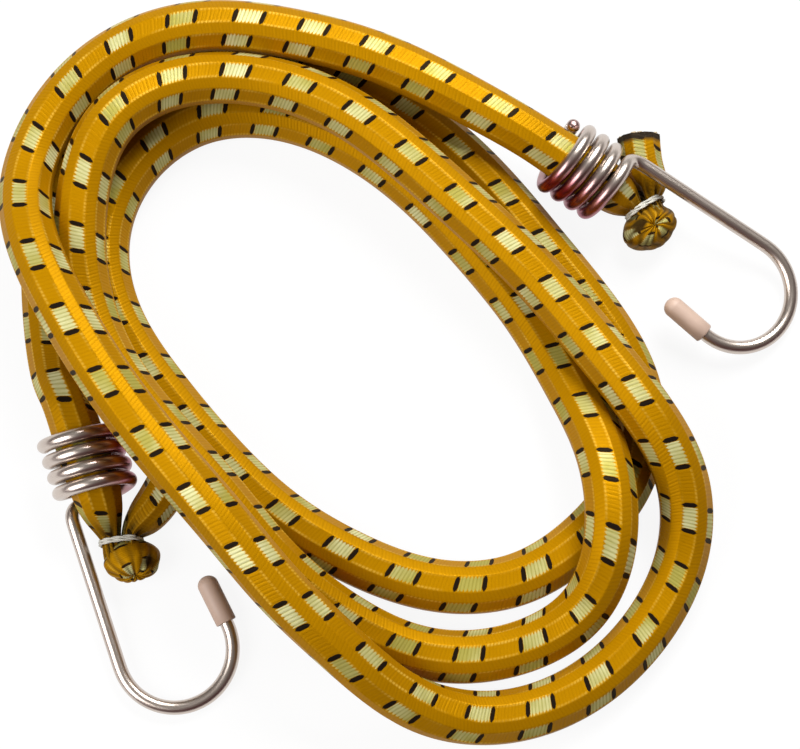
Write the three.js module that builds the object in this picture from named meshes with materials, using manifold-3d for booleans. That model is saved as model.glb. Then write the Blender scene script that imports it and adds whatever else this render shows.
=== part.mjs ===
// Bungee cord: a braided elastic cord laid in a loose oval pile, with a wire hook on each end.
// Millimetres, +Z up. The pile lies on z = 0 and the origin is under its middle.
import * as THREE from 'three';
import * as BufferGeometryUtils from 'three/addons/utils/BufferGeometryUtils.js';
import Module from 'manifold-3d';

const wasm = await Module();
wasm.setup();

// Cord: a braided sheath of eight facets over a bundle of rubber threads.
const CORD_DIAMETER = 9.4; // across the corners of the eight facets
const CORD_FACETS = 8;
const SHEATH_WALL = 1.1;
const CORE_CLEARANCE = 0.35;
const PIECE_GAP = 0.3; // between two lengths of the cord that meet end to end
const STRETCH_LENGTH = 24; // the length beside each hook that gives when the cord is pulled
const CORD_STEP = 9; // between cross-sections of the pile

// Bound end: the cord doubles back past the hook and is tied with thread.
const NECK_HALF_WIDTH = 1.9; // of each leg, squeezed by the thread
const NECK_HALF_HEIGHT = 2.9;
const NECK_SPREAD = 2.35; // from the middle of the neck to the middle of each leg
const KNOB_HALF_WIDTH = 2.3; // of the cord, where it doubles back
const KNOB_HALF_HEIGHT = 3.6;
const KNOB_SPREAD = 2.9; // from the middle of the knob to where each leg turns
const KNOB_REACH = 5.6; // from the thread to where the legs turn
const TAIL_ROOT_HALF_WIDTH = 3.1; // where the tail leaves the neck
const TAIL_HALF_WIDTH = 4.4; // at its cut end
const TAIL_HALF_HEIGHT = 3.8;
const LYING_HEIGHT = 4.45; // middle of a bound end that has drooped to the ground

// Thread whipping round the neck.
const THREAD_DIAMETER = 0.8;
const THREAD_TURNS = 1.5;
const THREAD_GAP = 0.45; // between turns
const THREAD_CLEARANCE = 0.65; // to the cord
const THREAD_SQUARENESS = 3; // exponent of the oval that the thread follows

// Hook: one wire, close-wound round the cord, then a shank and a J.
const WIRE_DIAMETER = 2.6;
const COIL_CLEARANCE = 0.6; // to the cord
const COIL_GAP = 0.45; // between turns
const COIL_TURNS = 3.86;
const COIL_START = 90; // degrees from the top of the coil
const COIL_BEND_RADIUS = 2.5; // where the last turn runs into the shank
const J_REACH = 37; // from the middle of the coil to the middle of the J
const J_RADIUS = 10.6;
const J_TURN = 188; // degrees
const TIP_LENGTH = 8.2; // straight wire after the J
const WIRE_SIDES = 8;

// Tip cap: a moulded cup pushed over the tip of the wire.
const CAP_LENGTH = 9.4;
const CAP_WALL = 0.45;
const CAP_END_WALL = 1.2;
const CAP_CLEARANCE = 0.2;
const CAP_SIDES = 12;

const CORD_RADIUS = CORD_DIAMETER / 2;
const WIRE_RADIUS = WIRE_DIAMETER / 2;
const THREAD_RADIUS = THREAD_DIAMETER / 2;
const COIL_RADIUS = CORD_RADIUS + COIL_CLEARANCE + WIRE_RADIUS;
const COIL_PITCH = WIRE_DIAMETER + COIL_GAP;
const COIL_LENGTH = COIL_PITCH * COIL_TURNS;
const CAP_RADIUS = WIRE_RADIUS + CAP_CLEARANCE + CAP_WALL;

// The two ends. Each has its own frame: x along the coil's axis towards the J, y to the left, z up.
// The hooks are alike, and hook A is turned half round on its cord. The neck is where the thread
// binds the doubled cord, and the tail runs from there to its cut end.
const END_A = {
  at: [-58.5, -19, 8.5],
  heading: -71,
  dip: 4,
  roll: 180,
  neck: { x: 14.8, y: 1.2, heading: -12 },
  tail: [[9.8, 8.8], [6.2, 13.6]],
};
const END_B = {
  at: [33.7, 37.7, 9.3],
  heading: -30.7,
  dip: 13,
  roll: 0,
  neck: { x: 13.9, y: 0.8, heading: -29 },
  tail: [[9.9, 7.8], [5.8, 12.7]],
};

// Cord inside the coil, in the end's frame: x, y, the share of the droop to the ground that is
// reached there, and the half width and half height of the cord.
const COIL_LEG = [
  [-14, 0, 0, CORD_RADIUS, CORD_RADIUS],
  [-7.5, 0, 0, CORD_RADIUS, CORD_RADIUS],
  [0, 0, 0, CORD_RADIUS, CORD_RADIUS],
  [6, 0, 0, CORD_RADIUS, CORD_RADIUS],
  [8.8, -0.1, 0.5, 3.2, 3.6],
];

// One leg of the fold, in the neck's frame with x towards the knob: x, y to the outside, and the
// half width and half height of the cord.
const FOLD_LEG = [
  [-2.7, NECK_SPREAD, NECK_HALF_WIDTH, NECK_HALF_HEIGHT],
  [2, NECK_SPREAD, NECK_HALF_WIDTH, NECK_HALF_HEIGHT],
  [KNOB_REACH, KNOB_SPREAD, KNOB_HALF_WIDTH, KNOB_HALF_HEIGHT],
];

// Pile: x, y and height of the cord's middle, from hook B to hook A.
const ROUTE = [
  [8, 52.5, 13.2], [-6, 59.5, 13.6], [-21.5, 63.5, 13.8], [-37.5, 65.5, 15], [-53.5, 61.5, 13.8],
  [-65.5, 50.5, 13.5], [-72, 35, 13.5], [-69, 20.5, 20.5], [-61.5, 6.5, 23], [-53, -7, 22.8],
  [-43, -19.5, 22.6], [-32.5, -31, 22.2], [-22.5, -43.5, 19.6], [-11, -53.5, 15.5], [0, -63, 8.5],
  [15.5, -66, 3.8], [31, -61.5, 3.8], [43.5, -51, 3.8], [52, -36.5, 3.8], [52, -21.5, 11],
  [43.5, -9, 16], [34, 4, 13.4], [24, 16.5, 13.9], [12.5, 27.5, 13.9], [1, 38.5, 13.9],
  [-11, 48.5, 13.9], [-26, 54.5, 13.6], [-42.5, 55, 13.8], [-56.5, 46, 17.5], [-61, 30.5, 14.5],
  [-60.5, 14.5, 12.8], [-55, -0.5, 12.8], [-45, -13, 12.7], [-34, -24.5, 13], [-24.5, -37, 10.2],
  [-12.5, -46.5, 5.6], [2, -54, 3.8], [18, -54, 3.8], [33.5, -47, 5.5], [38, -33.5, 16],
  [36.5, -17, 12.6], [30.5, -4, 5.2], [24, 10.5, 3.8], [14, 23, 3.8], [3.5, 35, 3.8],
  [-9, 45, 3.8], [-24, 51.5, 3.8], [-40.5, 51, 3.8], [-53.5, 40.5, 3.8], [-59, 25, 3.8],
  [-55, 9, 3.8], [-45.5, -4, 3.8], [-35.5, -16, 3.8], [-24, -27.5, 3.8], [-10.5, -35.5, 3.8],
  [4.5, -41.5, 3.8], [21, -41, 3.8], [34.5, -31.5, 3.8], [44.5, -19, 3.8], [46, -2, 3.8],
  [36.5, 11.5, 3.8], [26.5, 23.5, 3.8], [17, 36, 3.8], [5.5, 47.5, 3.8], [-8, 56, 3.8],
  [-23, 61.5, 3.8], [-39, 64.5, 3.8], [-53.5, 57.5, 3.8], [-63, 44, 3.8], [-68.5, 29, 3.8],
  [-68, 13, 3.8], [-65.5, -2, 5.6],
];

const UP = new THREE.Vector3(0, 0, 1);

const sheathMaterial = new THREE.MeshStandardMaterial({ color: 0xe3a31a, roughness: 0.75, metalness: 0 });
const coreMaterial = new THREE.MeshStandardMaterial({ color: 0xcdb892, roughness: 0.85, metalness: 0 });
const wireMaterial = new THREE.MeshStandardMaterial({ color: 0xcfc4bd, roughness: 0.2, metalness: 1 });
const capMaterial = new THREE.MeshStandardMaterial({ color: 0xd3a793, roughness: 0.6, metalness: 0 });
const threadMaterial = new THREE.MeshStandardMaterial({ color: 0xe8e4d6, roughness: 0.8, metalness: 0 });

const object = new THREE.Group();

function addMesh(name, geometry, material, parent = object) {
  const mesh = new THREE.Mesh(geometry, material);
  mesh.name = name;
  parent.add(mesh);
}

// Skins a row of rings into a closed solid. With a bore, the row of bore rings is its inner wall.
function skin(rings, bore = null) {
  const walls = bore ? [rings, bore] : [rings];
  const positions = walls.flat(2).flatMap((point) => point.toArray());
  const count = rings[0].length;
  const last = rings.length - 1;
  const index = [];
  const vertex = (wall, ring, side) => (wall * rings.length + ring) * count + (side % count);
  for (let wall = 0; wall < walls.length; wall += 1) {
    for (let ring = 0; ring < last; ring += 1) {
      for (let side = 0; side < count; side += 1) {
        const a = vertex(wall, ring, side);
        const b = vertex(wall, ring, side + 1);
        const c = vertex(wall, ring + 1, side + 1);
        const d = vertex(wall, ring + 1, side);
        index.push(...(wall === 0 ? [a, b, c, a, c, d] : [a, c, b, a, d, c]));
      }
    }
  }
  for (let side = 0; side < count; side += 1) {
    for (const ring of [0, last]) {
      const a = vertex(0, ring, side);
      const b = vertex(0, ring, side + 1);
      const inner = bore ? vertex(1, ring, side) : vertex(0, ring, 0);
      const innerNext = bore ? vertex(1, ring, side + 1) : inner;
      const face = ring === last ? [a, b, innerNext] : [a, innerNext, b];
      const innerFace = ring === last ? [a, innerNext, inner] : [a, inner, innerNext];
      if (bore) {
        index.push(...face, ...innerFace);
      } else if (side > 0 && side < count - 1) {
        index.push(...face);
      }
    }
  }
  const geometry = new THREE.BufferGeometry();
  geometry.setAttribute('position', new THREE.Float32BufferAttribute(positions, 3));
  geometry.setIndex(index);
  return geometry;
}

// Ring of points round a centre, on the directions side and rise.
function ring(centre, side, rise, halfWidth, halfHeight, count) {
  const points = [];
  for (let k = 0; k < count; k += 1) {
    const angle = ((k + 0.5) / count) * 2 * Math.PI;
    const point = centre.clone();
    point.addScaledVector(side, halfWidth * Math.cos(angle));
    point.addScaledVector(rise, halfHeight * Math.sin(angle));
    points.push(point);
  }
  return points;
}

// Round tube along a row of points, with the ring carried along without twist.
function roundTube(points, radius, sides) {
  const rings = [];
  let side = null;
  let before = null;
  for (let k = 0; k < points.length; k += 1) {
    const from = points[Math.max(k - 1, 0)];
    const to = points[Math.min(k + 1, points.length - 1)];
    const along = to.clone().sub(from).normalize();
    if (side) {
      side.applyQuaternion(new THREE.Quaternion().setFromUnitVectors(before, along));
    } else {
      side = new THREE.Vector3(0.31, 0.77, 0.55).cross(along).normalize();
    }
    const rise = along.clone().cross(side).normalize();
    rings.push(ring(points[k], side.clone(), rise, radius, radius, sides));
    before = along;
  }
  return skin(rings);
}

// Cord: a smooth curve that follows the control points of one end, the pile and the other end.
function endFrame(end) {
  const frame = new THREE.Matrix4();
  const heading = THREE.MathUtils.degToRad(end.heading);
  const dip = THREE.MathUtils.degToRad(end.dip);
  frame.makeRotationFromEuler(new THREE.Euler(0, dip, heading, 'ZYX'));
  frame.setPosition(...end.at);
  return frame;
}

function foldLeg(neck, side) {
  const frame = new THREE.Matrix4().makeRotationZ(THREE.MathUtils.degToRad(neck.heading));
  frame.setPosition(neck.x, neck.y, 0);
  return FOLD_LEG.map(([x, y, halfWidth, halfHeight]) => {
    const point = new THREE.Vector3(x, side * y, 0).applyMatrix4(frame);
    return [point.x, point.y, 1, halfWidth, halfHeight];
  });
}

function endControls(end) {
  const frame = endFrame(end);
  const tailHalfWidths = [TAIL_ROOT_HALF_WIDTH, TAIL_HALF_WIDTH];
  const tail = end.tail.map((point, k) => [...point, 1, tailHalfWidths[k], TAIL_HALF_HEIGHT]);
  const route = [...COIL_LEG, ...foldLeg(end.neck, -1), ...foldLeg(end.neck, 1).reverse(), ...tail];
  return route.map(([x, y, share, halfWidth, halfHeight]) => {
    const point = new THREE.Vector3(x, y, 0).applyMatrix4(frame);
    point.z = THREE.MathUtils.lerp(point.z, LYING_HEIGHT, share);
    return [...point.toArray(), halfWidth, halfHeight];
  });
}

const pileControls = ROUTE.map((point) => [...point, CORD_RADIUS, CORD_RADIUS]);
const endControlsB = endControls(END_B).reverse();
const endControlsA = endControls(END_A);
const controls = [...endControlsB, ...pileControls, ...endControlsA];

// Cubic B-spline through the controls; place runs from 0 to the number of controls less one.
function cordAt(place) {
  const last = controls.length - 1;
  const first = Math.min(Math.floor(place), last - 1);
  const t = place - first;
  const mirrored = (near, far) => near.map((value, k) => 2 * value - far[k]);
  const p = [
    first > 0 ? controls[first - 1] : mirrored(controls[0], controls[1]),
    controls[first],
    controls[first + 1],
    first + 2 <= last ? controls[first + 2] : mirrored(controls[last], controls[last - 1]),
  ];
  const weight = [(1 - t) ** 3, 3 * t ** 3 - 6 * t ** 2 + 4, -3 * t ** 3 + 3 * t ** 2 + 3 * t + 1, t ** 3];
  const slope = [-((1 - t) ** 2), 3 * t ** 2 - 4 * t, -3 * t ** 2 + 2 * t + 1, t ** 2];
  const mix = (factors, k) => p.reduce((sum, point, n) => sum + factors[n] * point[k], 0);
  const centre = new THREE.Vector3(...[0, 1, 2].map((k) => mix(weight, k) / 6));
  const along = new THREE.Vector3(...[0, 1, 2].map((k) => mix(slope, k) / 2)).normalize();
  const side = UP.clone().cross(along).normalize();
  const rise = along.clone().cross(side);
  return { centre, side, rise, halfWidth: mix(weight, 3) / 6, halfHeight: mix(weight, 4) / 6 };
}

// Length along the cord at closely spaced places, for cutting it to measure.
const FINE = 40;
const measured = [{ place: 0, length: 0 }];
for (let k = 1; k <= (controls.length - 1) * FINE; k += 1) {
  const place = k / FINE;
  const step = cordAt(place).centre.distanceTo(cordAt(place - 1 / FINE).centre);
  measured.push({ place, length: measured[k - 1].length + step });
}

function placeAtLength(length) {
  const k = Math.max(measured.findIndex((entry) => entry.length >= length), 1);
  const [before, after] = [measured[k - 1], measured[k]];
  const share = (length - before.length) / (after.length - before.length);
  return before.place + share * (after.place - before.place);
}

function lengthAtPlace(place) {
  return measured[Math.round(place * FINE)].length;
}

const CORD_LENGTH = measured[measured.length - 1].length;
const LEG_CONTROL = endControlsA.length - 1;
const legB = lengthAtPlace(LEG_CONTROL - 1);
const legA = lengthAtPlace(controls.length - LEG_CONTROL);

// Sheath and core of one length of the cord. A core ends flush with its sheath.
function addCordLength(name, from, to, step) {
  const start = from === 0 ? from : from + PIECE_GAP / 2;
  const end = to === CORD_LENGTH ? to : to - PIECE_GAP / 2;
  const steps = Math.ceil((end - start) / step);
  const sections = [];
  for (let k = 0; k <= steps; k += 1) {
    sections.push(cordAt(placeAtLength(start + ((end - start) * k) / steps)));
  }
  const rings = (inset) => sections.map((s) =>
    ring(s.centre, s.side, s.rise, s.halfWidth - inset, s.halfHeight - inset, CORD_FACETS));
  const sheath = skin(rings(0), rings(SHEATH_WALL));
  addMesh(`sheath_${name}`, cutAtGround(sheath), sheathMaterial);
  addMesh(`core_${name}`, skin(rings(SHEATH_WALL + CORE_CLEARANCE)), coreMaterial);
  return sections;
}

function toSolid(geometry) {
  const mesh = new wasm.Mesh({
    numProp: 3,
    vertProperties: new Float32Array(geometry.getAttribute('position').array),
    triVerts: new Uint32Array(geometry.getIndex().array),
  });
  return new wasm.Manifold(mesh);
}

// The cord presses flat where it lies on the ground.
function cutAtGround(geometry) {
  geometry.computeBoundingBox();
  const box = geometry.boundingBox;
  if (box.min.z >= 0) {
    return geometry;
  }
  const size = box.getSize(new THREE.Vector3());
  const middle = box.getCenter(new THREE.Vector3());
  let ground = new THREE.BoxGeometry(size.x * 2, size.y * 2, size.z);
  ground.deleteAttribute('normal');
  ground.deleteAttribute('uv');
  ground.translate(middle.x, middle.y, -size.z / 2);
  ground = BufferGeometryUtils.mergeVertices(ground);
  const cut = toSolid(geometry).subtract(toSolid(ground)).getMesh();
  const flat = new THREE.BufferGeometry();
  flat.setAttribute('position', new THREE.BufferAttribute(cut.vertProperties, 3));
  flat.setIndex(new THREE.BufferAttribute(cut.triVerts, 1));
  return flat;
}

const END_STEP = 2.2;
const STRETCH_STEP = 8;
addCordLength('winding', legB + STRETCH_LENGTH, legA - STRETCH_LENGTH, CORD_STEP);
addCordLength('stretch_a', legA - STRETCH_LENGTH, legA, STRETCH_STEP);
addCordLength('stretch_b', legB, legB + STRETCH_LENGTH, STRETCH_STEP);
addCordLength('end_a', legA, CORD_LENGTH, END_STEP);
addCordLength('end_b', 0, legB, END_STEP);

// Least distance between two lengths of the cord that lie side by side.
function leastCordGap() {
  const samples = [];
  for (let length = 0; length <= CORD_LENGTH; length += 1) {
    samples.push({ length, ...cordAt(placeAtLength(length)) });
  }
  let least = Infinity;
  for (let a = 0; a < samples.length; a += 1) {
    for (let b = a + 1; b < samples.length; b += 1) {
      const widths = samples[a].halfWidth + samples[b].halfWidth;
      if (samples[b].length - samples[a].length > 2.4 * widths) {
        const gap = samples[a].centre.distanceTo(samples[b].centre) - widths;
        least = Math.min(least, gap);
      }
    }
  }
  return least;
}

// Hook wire in the end's frame: coil, bend, shank, J and tip.
function hookPath() {
  const points = [];
  const start = THREE.MathUtils.degToRad(COIL_START);
  const coilSteps = Math.round(COIL_TURNS * 12);
  for (let k = 0; k <= coilSteps; k += 1) {
    const turned = (k / coilSteps) * COIL_TURNS;
    const angle = start + turned * 2 * Math.PI;
    const x = turned * COIL_PITCH - COIL_LENGTH / 2;
    points.push(new THREE.Vector3(x, COIL_RADIUS * Math.sin(angle), COIL_RADIUS * Math.cos(angle)));
  }
  const coilEnd = points[points.length - 1];
  const endAngle = start + COIL_TURNS * 2 * Math.PI;
  const leaving = new THREE.Vector3(0, Math.cos(endAngle), -Math.sin(endAngle));
  for (let k = 1; k <= 4; k += 1) {
    const angle = (k / 4) * (Math.PI / 2);
    const point = coilEnd.clone().addScaledVector(leaving, COIL_BEND_RADIUS * Math.sin(angle));
    point.x += COIL_BEND_RADIUS * (1 - Math.cos(angle));
    points.push(point);
  }
  const shank = points[points.length - 1];
  points.push(new THREE.Vector3((shank.x + J_REACH) / 2, shank.y, shank.z));
  const turn = THREE.MathUtils.degToRad(J_TURN);
  for (let k = 0; k <= 12; k += 1) {
    const angle = (k / 12) * turn;
    const x = J_REACH + J_RADIUS * Math.sin(angle);
    points.push(new THREE.Vector3(x, shank.y - J_RADIUS + J_RADIUS * Math.cos(angle), shank.z));
  }
  const jEnd = points[points.length - 1];
  const tipDirection = new THREE.Vector3(Math.cos(turn), -Math.sin(turn), 0);
  points.push(jEnd.clone().addScaledVector(tipDirection, TIP_LENGTH));
  return { points, tipDirection };
}

// Cap: a cup with a domed end, its mouth at the origin and its length along +Y.
function capGeometry() {
  const bore = WIRE_RADIUS + CAP_CLEARANCE;
  const dome = CAP_RADIUS * 0.8;
  const profile = [new THREE.Vector2(0, CAP_LENGTH - CAP_END_WALL), new THREE.Vector2(bore, CAP_LENGTH - CAP_END_WALL)];
  profile.push(new THREE.Vector2(bore, 0), new THREE.Vector2(CAP_RADIUS, 0));
  for (let k = 0; k <= 3; k += 1) {
    const angle = (k / 3) * (Math.PI / 2);
    const x = k === 3 ? 0 : CAP_RADIUS * Math.cos(angle);
    profile.push(new THREE.Vector2(x, CAP_LENGTH - dome + dome * Math.sin(angle)));
  }
  const cup = new THREE.LatheGeometry(profile, CAP_SIDES);
  cup.deleteAttribute('normal');
  cup.deleteAttribute('uv');
  return BufferGeometryUtils.mergeVertices(cup);
}

function addHook(name, end) {
  const group = new THREE.Group();
  group.applyMatrix4(endFrame(end));
  group.rotateX(THREE.MathUtils.degToRad(end.roll));
  object.add(group);
  const { points, tipDirection } = hookPath();
  addMesh(`hook_${name}`, roundTube(points, WIRE_RADIUS, WIRE_SIDES), wireMaterial, group);
  const cap = new THREE.Group();
  const wireTip = points[points.length - 1];
  const seat = CAP_LENGTH - CAP_END_WALL - CAP_CLEARANCE;
  cap.position.copy(wireTip).addScaledVector(tipDirection, -seat);
  cap.quaternion.setFromUnitVectors(new THREE.Vector3(0, 1, 0), tipDirection);
  addMesh(`tip_cap_${name}`, capGeometry(), capMaterial, cap);
  group.add(cap);
}

addHook('a', END_A);
addHook('b', END_B);

// Thread wound round both legs of the neck.
function threadPath(end) {
  const frame = endFrame(end);
  const middle = new THREE.Vector3(end.neck.x, end.neck.y, 0).applyMatrix4(frame);
  middle.z = LYING_HEIGHT;
  const heading = THREE.MathUtils.degToRad(end.heading + end.neck.heading);
  const along = new THREE.Vector3(Math.cos(heading), Math.sin(heading), 0);
  const side = UP.clone().cross(along);
  const clear = THREAD_CLEARANCE + THREAD_RADIUS;
  const halfWidth = NECK_SPREAD + NECK_HALF_WIDTH + clear;
  const halfHeight = NECK_HALF_HEIGHT + clear;
  const pitch = THREAD_DIAMETER + THREAD_GAP;
  const steps = Math.round(THREAD_TURNS * 16);
  const squared = (value) => Math.sign(value) * Math.abs(value) ** (2 / THREAD_SQUARENESS);
  const points = [];
  for (let k = 0; k <= steps; k += 1) {
    const turned = (k / steps) * THREAD_TURNS;
    const angle = turned * 2 * Math.PI;
    const point = middle.clone().addScaledVector(along, (turned - THREAD_TURNS / 2) * pitch);
    point.addScaledVector(side, halfWidth * squared(Math.cos(angle)));
    point.z += halfHeight * squared(Math.sin(angle));
    points.push(point);
  }
  return points;
}

addMesh('whipping_a', roundTube(threadPath(END_A), THREAD_RADIUS, 5), threadMaterial);
addMesh('whipping_b', roundTube(threadPath(END_B), THREAD_RADIUS, 5), threadMaterial);

// Least distance between the turns of a wound tube, from points at least half a turn apart.
function leastTurnGap(points, diameter, pointsPerTurn) {
  let least = Infinity;
  for (let a = 0; a < points.length; a += 1) {
    for (let b = a + Math.round(pointsPerTurn / 2); b < points.length; b += 1) {
      least = Math.min(least, points[a].distanceTo(points[b]) - diameter);
    }
  }
  return least;
}

console.log(`cord length ${CORD_LENGTH.toFixed(0)} mm, least gap to itself ${leastCordGap().toFixed(2)} mm`);
console.log(`coil least gap ${leastTurnGap(hookPath().points, WIRE_DIAMETER, 12).toFixed(2)} mm`);
console.log(`thread least gap ${leastTurnGap(threadPath(END_A), THREAD_DIAMETER, 16).toFixed(2)} mm`);

export default object;
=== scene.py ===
# A bungee cord: a braided elastic cord lying in a loose oval pile, with a wire hook on each end.
# Metres, +Z up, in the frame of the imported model.
import math

import bmesh
import bpy
import numpy as np
from mathutils import Matrix, Vector


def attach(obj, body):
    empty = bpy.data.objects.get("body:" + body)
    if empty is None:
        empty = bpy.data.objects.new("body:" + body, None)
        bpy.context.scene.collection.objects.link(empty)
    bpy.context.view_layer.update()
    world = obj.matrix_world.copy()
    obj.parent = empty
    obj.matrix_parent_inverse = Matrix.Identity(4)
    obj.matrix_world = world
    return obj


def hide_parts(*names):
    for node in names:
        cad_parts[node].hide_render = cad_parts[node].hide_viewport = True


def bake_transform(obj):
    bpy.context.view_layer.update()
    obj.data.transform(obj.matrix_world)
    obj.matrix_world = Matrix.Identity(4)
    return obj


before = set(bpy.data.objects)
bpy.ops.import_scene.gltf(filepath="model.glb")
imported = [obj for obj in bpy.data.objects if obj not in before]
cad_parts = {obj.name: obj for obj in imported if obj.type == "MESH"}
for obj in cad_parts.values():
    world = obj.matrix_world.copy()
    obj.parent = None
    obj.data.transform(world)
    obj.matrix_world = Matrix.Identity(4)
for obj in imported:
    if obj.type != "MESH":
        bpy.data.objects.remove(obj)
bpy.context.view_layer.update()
scene = bpy.context.scene
scene.view_settings.view_transform = "Standard"

# Camera: almost straight above the pile, as the photograph was taken, and near enough that the far
# turns look a little smaller.
CAMERA_DISTANCE = 0.410
CAMERA_ELEVATION = math.radians(78)
CAMERA_AIM = Vector((-0.001, 0, 0))
CAMERA_LENS_MM = 97.1
CAMERA_SENSOR_MM = 36
camera_data = bpy.data.cameras.new("camera")
camera_data.lens = CAMERA_LENS_MM
camera_data.sensor_width = CAMERA_SENSOR_MM
camera_data.sensor_fit = "HORIZONTAL"
camera = bpy.data.objects.new("camera", camera_data)
camera.location = CAMERA_AIM + CAMERA_DISTANCE * Vector(
    (0, -math.cos(CAMERA_ELEVATION), math.sin(CAMERA_ELEVATION))
)
camera.rotation_euler = (math.pi / 2 - CAMERA_ELEVATION, 0, 0)
scene.collection.objects.link(camera)
scene.camera = camera

# Cord: an elastic cord of about 10 mm, one length of rubber threads in a braided polyester sheath.
# It runs from the cut tail beside hook B, round the pile, to the cut tail beside hook A. Its route is
# the CAD route, drawn in by about a millimetre where turns cross at the right.
CORD_RADIUS = 0.0049
LYING_HEIGHT = 0.0043
PILE_ROUTE = [
    (0.008, 0.0525, 0.0132), (-0.006, 0.0595, 0.0136), (-0.0215, 0.0635, 0.0138),
    (-0.0375, 0.0655, 0.015), (-0.0535, 0.0615, 0.0138), (-0.0655, 0.0505, 0.0135),
    (-0.072, 0.035, 0.0135), (-0.069, 0.0205, 0.0205), (-0.0615, 0.0065, 0.023),
    (-0.053, -0.007, 0.0228), (-0.043, -0.0195, 0.0226), (-0.0325, -0.031, 0.0222),
    (-0.0225, -0.0435, 0.0196), (-0.011, -0.0535, 0.0155), (0, -0.063, 0.0085),
    (0.0155, -0.066, 0.0038), (0.031, -0.0615, 0.0038), (0.0435, -0.051, 0.0038),
    (0.052, -0.0365, 0.0038), (0.052, -0.0215, 0.011), (0.0435, -0.009, 0.016),
    (0.034, 0.004, 0.0134), (0.024, 0.0165, 0.0139), (0.0125, 0.0275, 0.0139),
    (0.001, 0.0385, 0.0139), (-0.011, 0.0485, 0.0139), (-0.026, 0.0545, 0.0136),
    (-0.0425, 0.055, 0.0138), (-0.0565, 0.046, 0.0175), (-0.061, 0.0305, 0.0145),
    (-0.0605, 0.0145, 0.0128), (-0.055, -0.0005, 0.0128), (-0.045, -0.013, 0.0127),
    (-0.034, -0.0245, 0.013), (-0.0245, -0.037, 0.0102), (-0.0125, -0.0465, 0.0056),
    (0.002, -0.054, 0.0038), (0.018, -0.054, 0.0038), (0.0335, -0.047, 0.0055),
    (0.038, -0.0335, 0.016), (0.0367, -0.0168, 0.0126), (0.0312, -0.0038, 0.0053),
    (0.024, 0.0105, 0.0038), (0.014, 0.023, 0.0038), (0.0035, 0.035, 0.0038),
    (-0.009, 0.045, 0.0038), (-0.024, 0.0515, 0.0038), (-0.0405, 0.051, 0.0038),
    (-0.0535, 0.0405, 0.0038), (-0.059, 0.025, 0.0038), (-0.055, 0.009, 0.0038),
    (-0.0455, -0.004, 0.0038), (-0.0355, -0.016, 0.0038), (-0.024, -0.0275, 0.0038),
    (-0.0105, -0.0355, 0.0038), (0.0045, -0.0415, 0.0038), (0.021, -0.041, 0.0038),
    (0.0345, -0.0315, 0.0038), (0.0442, -0.0188, 0.0038), (0.0445, -0.0028, 0.0038),
    (0.0363, 0.0113, 0.0038), (0.0265, 0.0235, 0.0038), (0.017, 0.036, 0.0038),
    (0.0055, 0.0475, 0.0038), (-0.008, 0.056, 0.0038), (-0.023, 0.0615, 0.0038),
    (-0.039, 0.0645, 0.0038), (-0.0535, 0.0575, 0.0038), (-0.063, 0.044, 0.0038),
    (-0.0685, 0.029, 0.0038), (-0.068, 0.013, 0.0038), (-0.0655, -0.002, 0.0056),
]
END_A = {
    "at": (-0.0585, -0.019, 0.0085), "heading": -71, "dip": 4, "roll": 180,
    "neck": (0.0148, 0.0012), "neck_turn": -12, "knob_lean": 0.0017,
    "tail": [(0.0105, 0.0092), (0.0064, 0.0138)],
}
END_B = {
    "at": (0.0337, 0.0377, 0.0093), "heading": -30.7, "dip": 13, "roll": 0,
    "neck": (0.0139, 0.0008), "neck_turn": -29, "knob_lean": -0.0012,
    "tail": [(0.0094, 0.0074), (0.0057, 0.0126)],
}
# Bound end, in its hook's frame with x along the coil and y to the left: x, y, share of the droop to
# the ground, half width and half height of the cord.
COIL_LEG = [
    (-0.014, 0, 0, 0.0046, 0.0046),
    (-0.0075, 0, 0, 0.0047, 0.0047),
    (0, 0, 0, 0.0049, 0.0049),
    (0.0055, 0, 0, 0.0047, 0.0047),
    (0.0092, -0.0003, 0.6, 0.0039, 0.0041),
]
NECK_LEGS = [
    (-0.0012, -0.0017, 1, 0.0018, 0.0029),
    (0.0014, -0.0017, 1, 0.0018, 0.0029),
    (0.0038, -0.0014, 1, 0.0022, 0.0030),
    (0.0040, 0.0014, 1, 0.0022, 0.0030),
    (0.0014, 0.0017, 1, 0.0018, 0.0029),
    (-0.0012, 0.0017, 1, 0.0018, 0.0029),
    (-0.0034, 0.0038, 1, 0.0036, 0.0034),
]
TAIL_SIZES = [(0.0040, 0.0037), (0.0042, 0.0037)]


def hook_frame(end):
    heading = Matrix.Rotation(math.radians(end["heading"]), 4, "Z")
    dip = Matrix.Rotation(math.radians(end["dip"]), 4, "Y")
    return Matrix.Translation(end["at"]) @ heading @ dip


def neck_frame(end):
    """Place of the thread, in the hook's frame: x towards the knob."""
    turn = Matrix.Rotation(math.radians(end["neck_turn"]), 4, "Z")
    return Matrix.Translation((*end["neck"], 0)) @ turn


def bound_end_controls(end):
    route = list(COIL_LEG)
    for x, y, *rest in NECK_LEGS:
        point = neck_frame(end) @ Vector((x, y, 0))
        route.append((point.x, point.y, *rest))
    for (x, y), sizes in zip(end["tail"], TAIL_SIZES):
        route.append((x, y, 1, *sizes))
    controls = []
    for x, y, share, half_width, half_height in route:
        point = hook_frame(end) @ Vector((x, y, 0))
        height = point.z + share * (LYING_HEIGHT - point.z)
        controls.append((point.x, point.y, height, half_width, half_height))
    return controls


pile_controls = [(*point, CORD_RADIUS, CORD_RADIUS) for point in PILE_ROUTE]
cord_controls = np.array(
    bound_end_controls(END_B)[::-1] + pile_controls + bound_end_controls(END_A)
)


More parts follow.
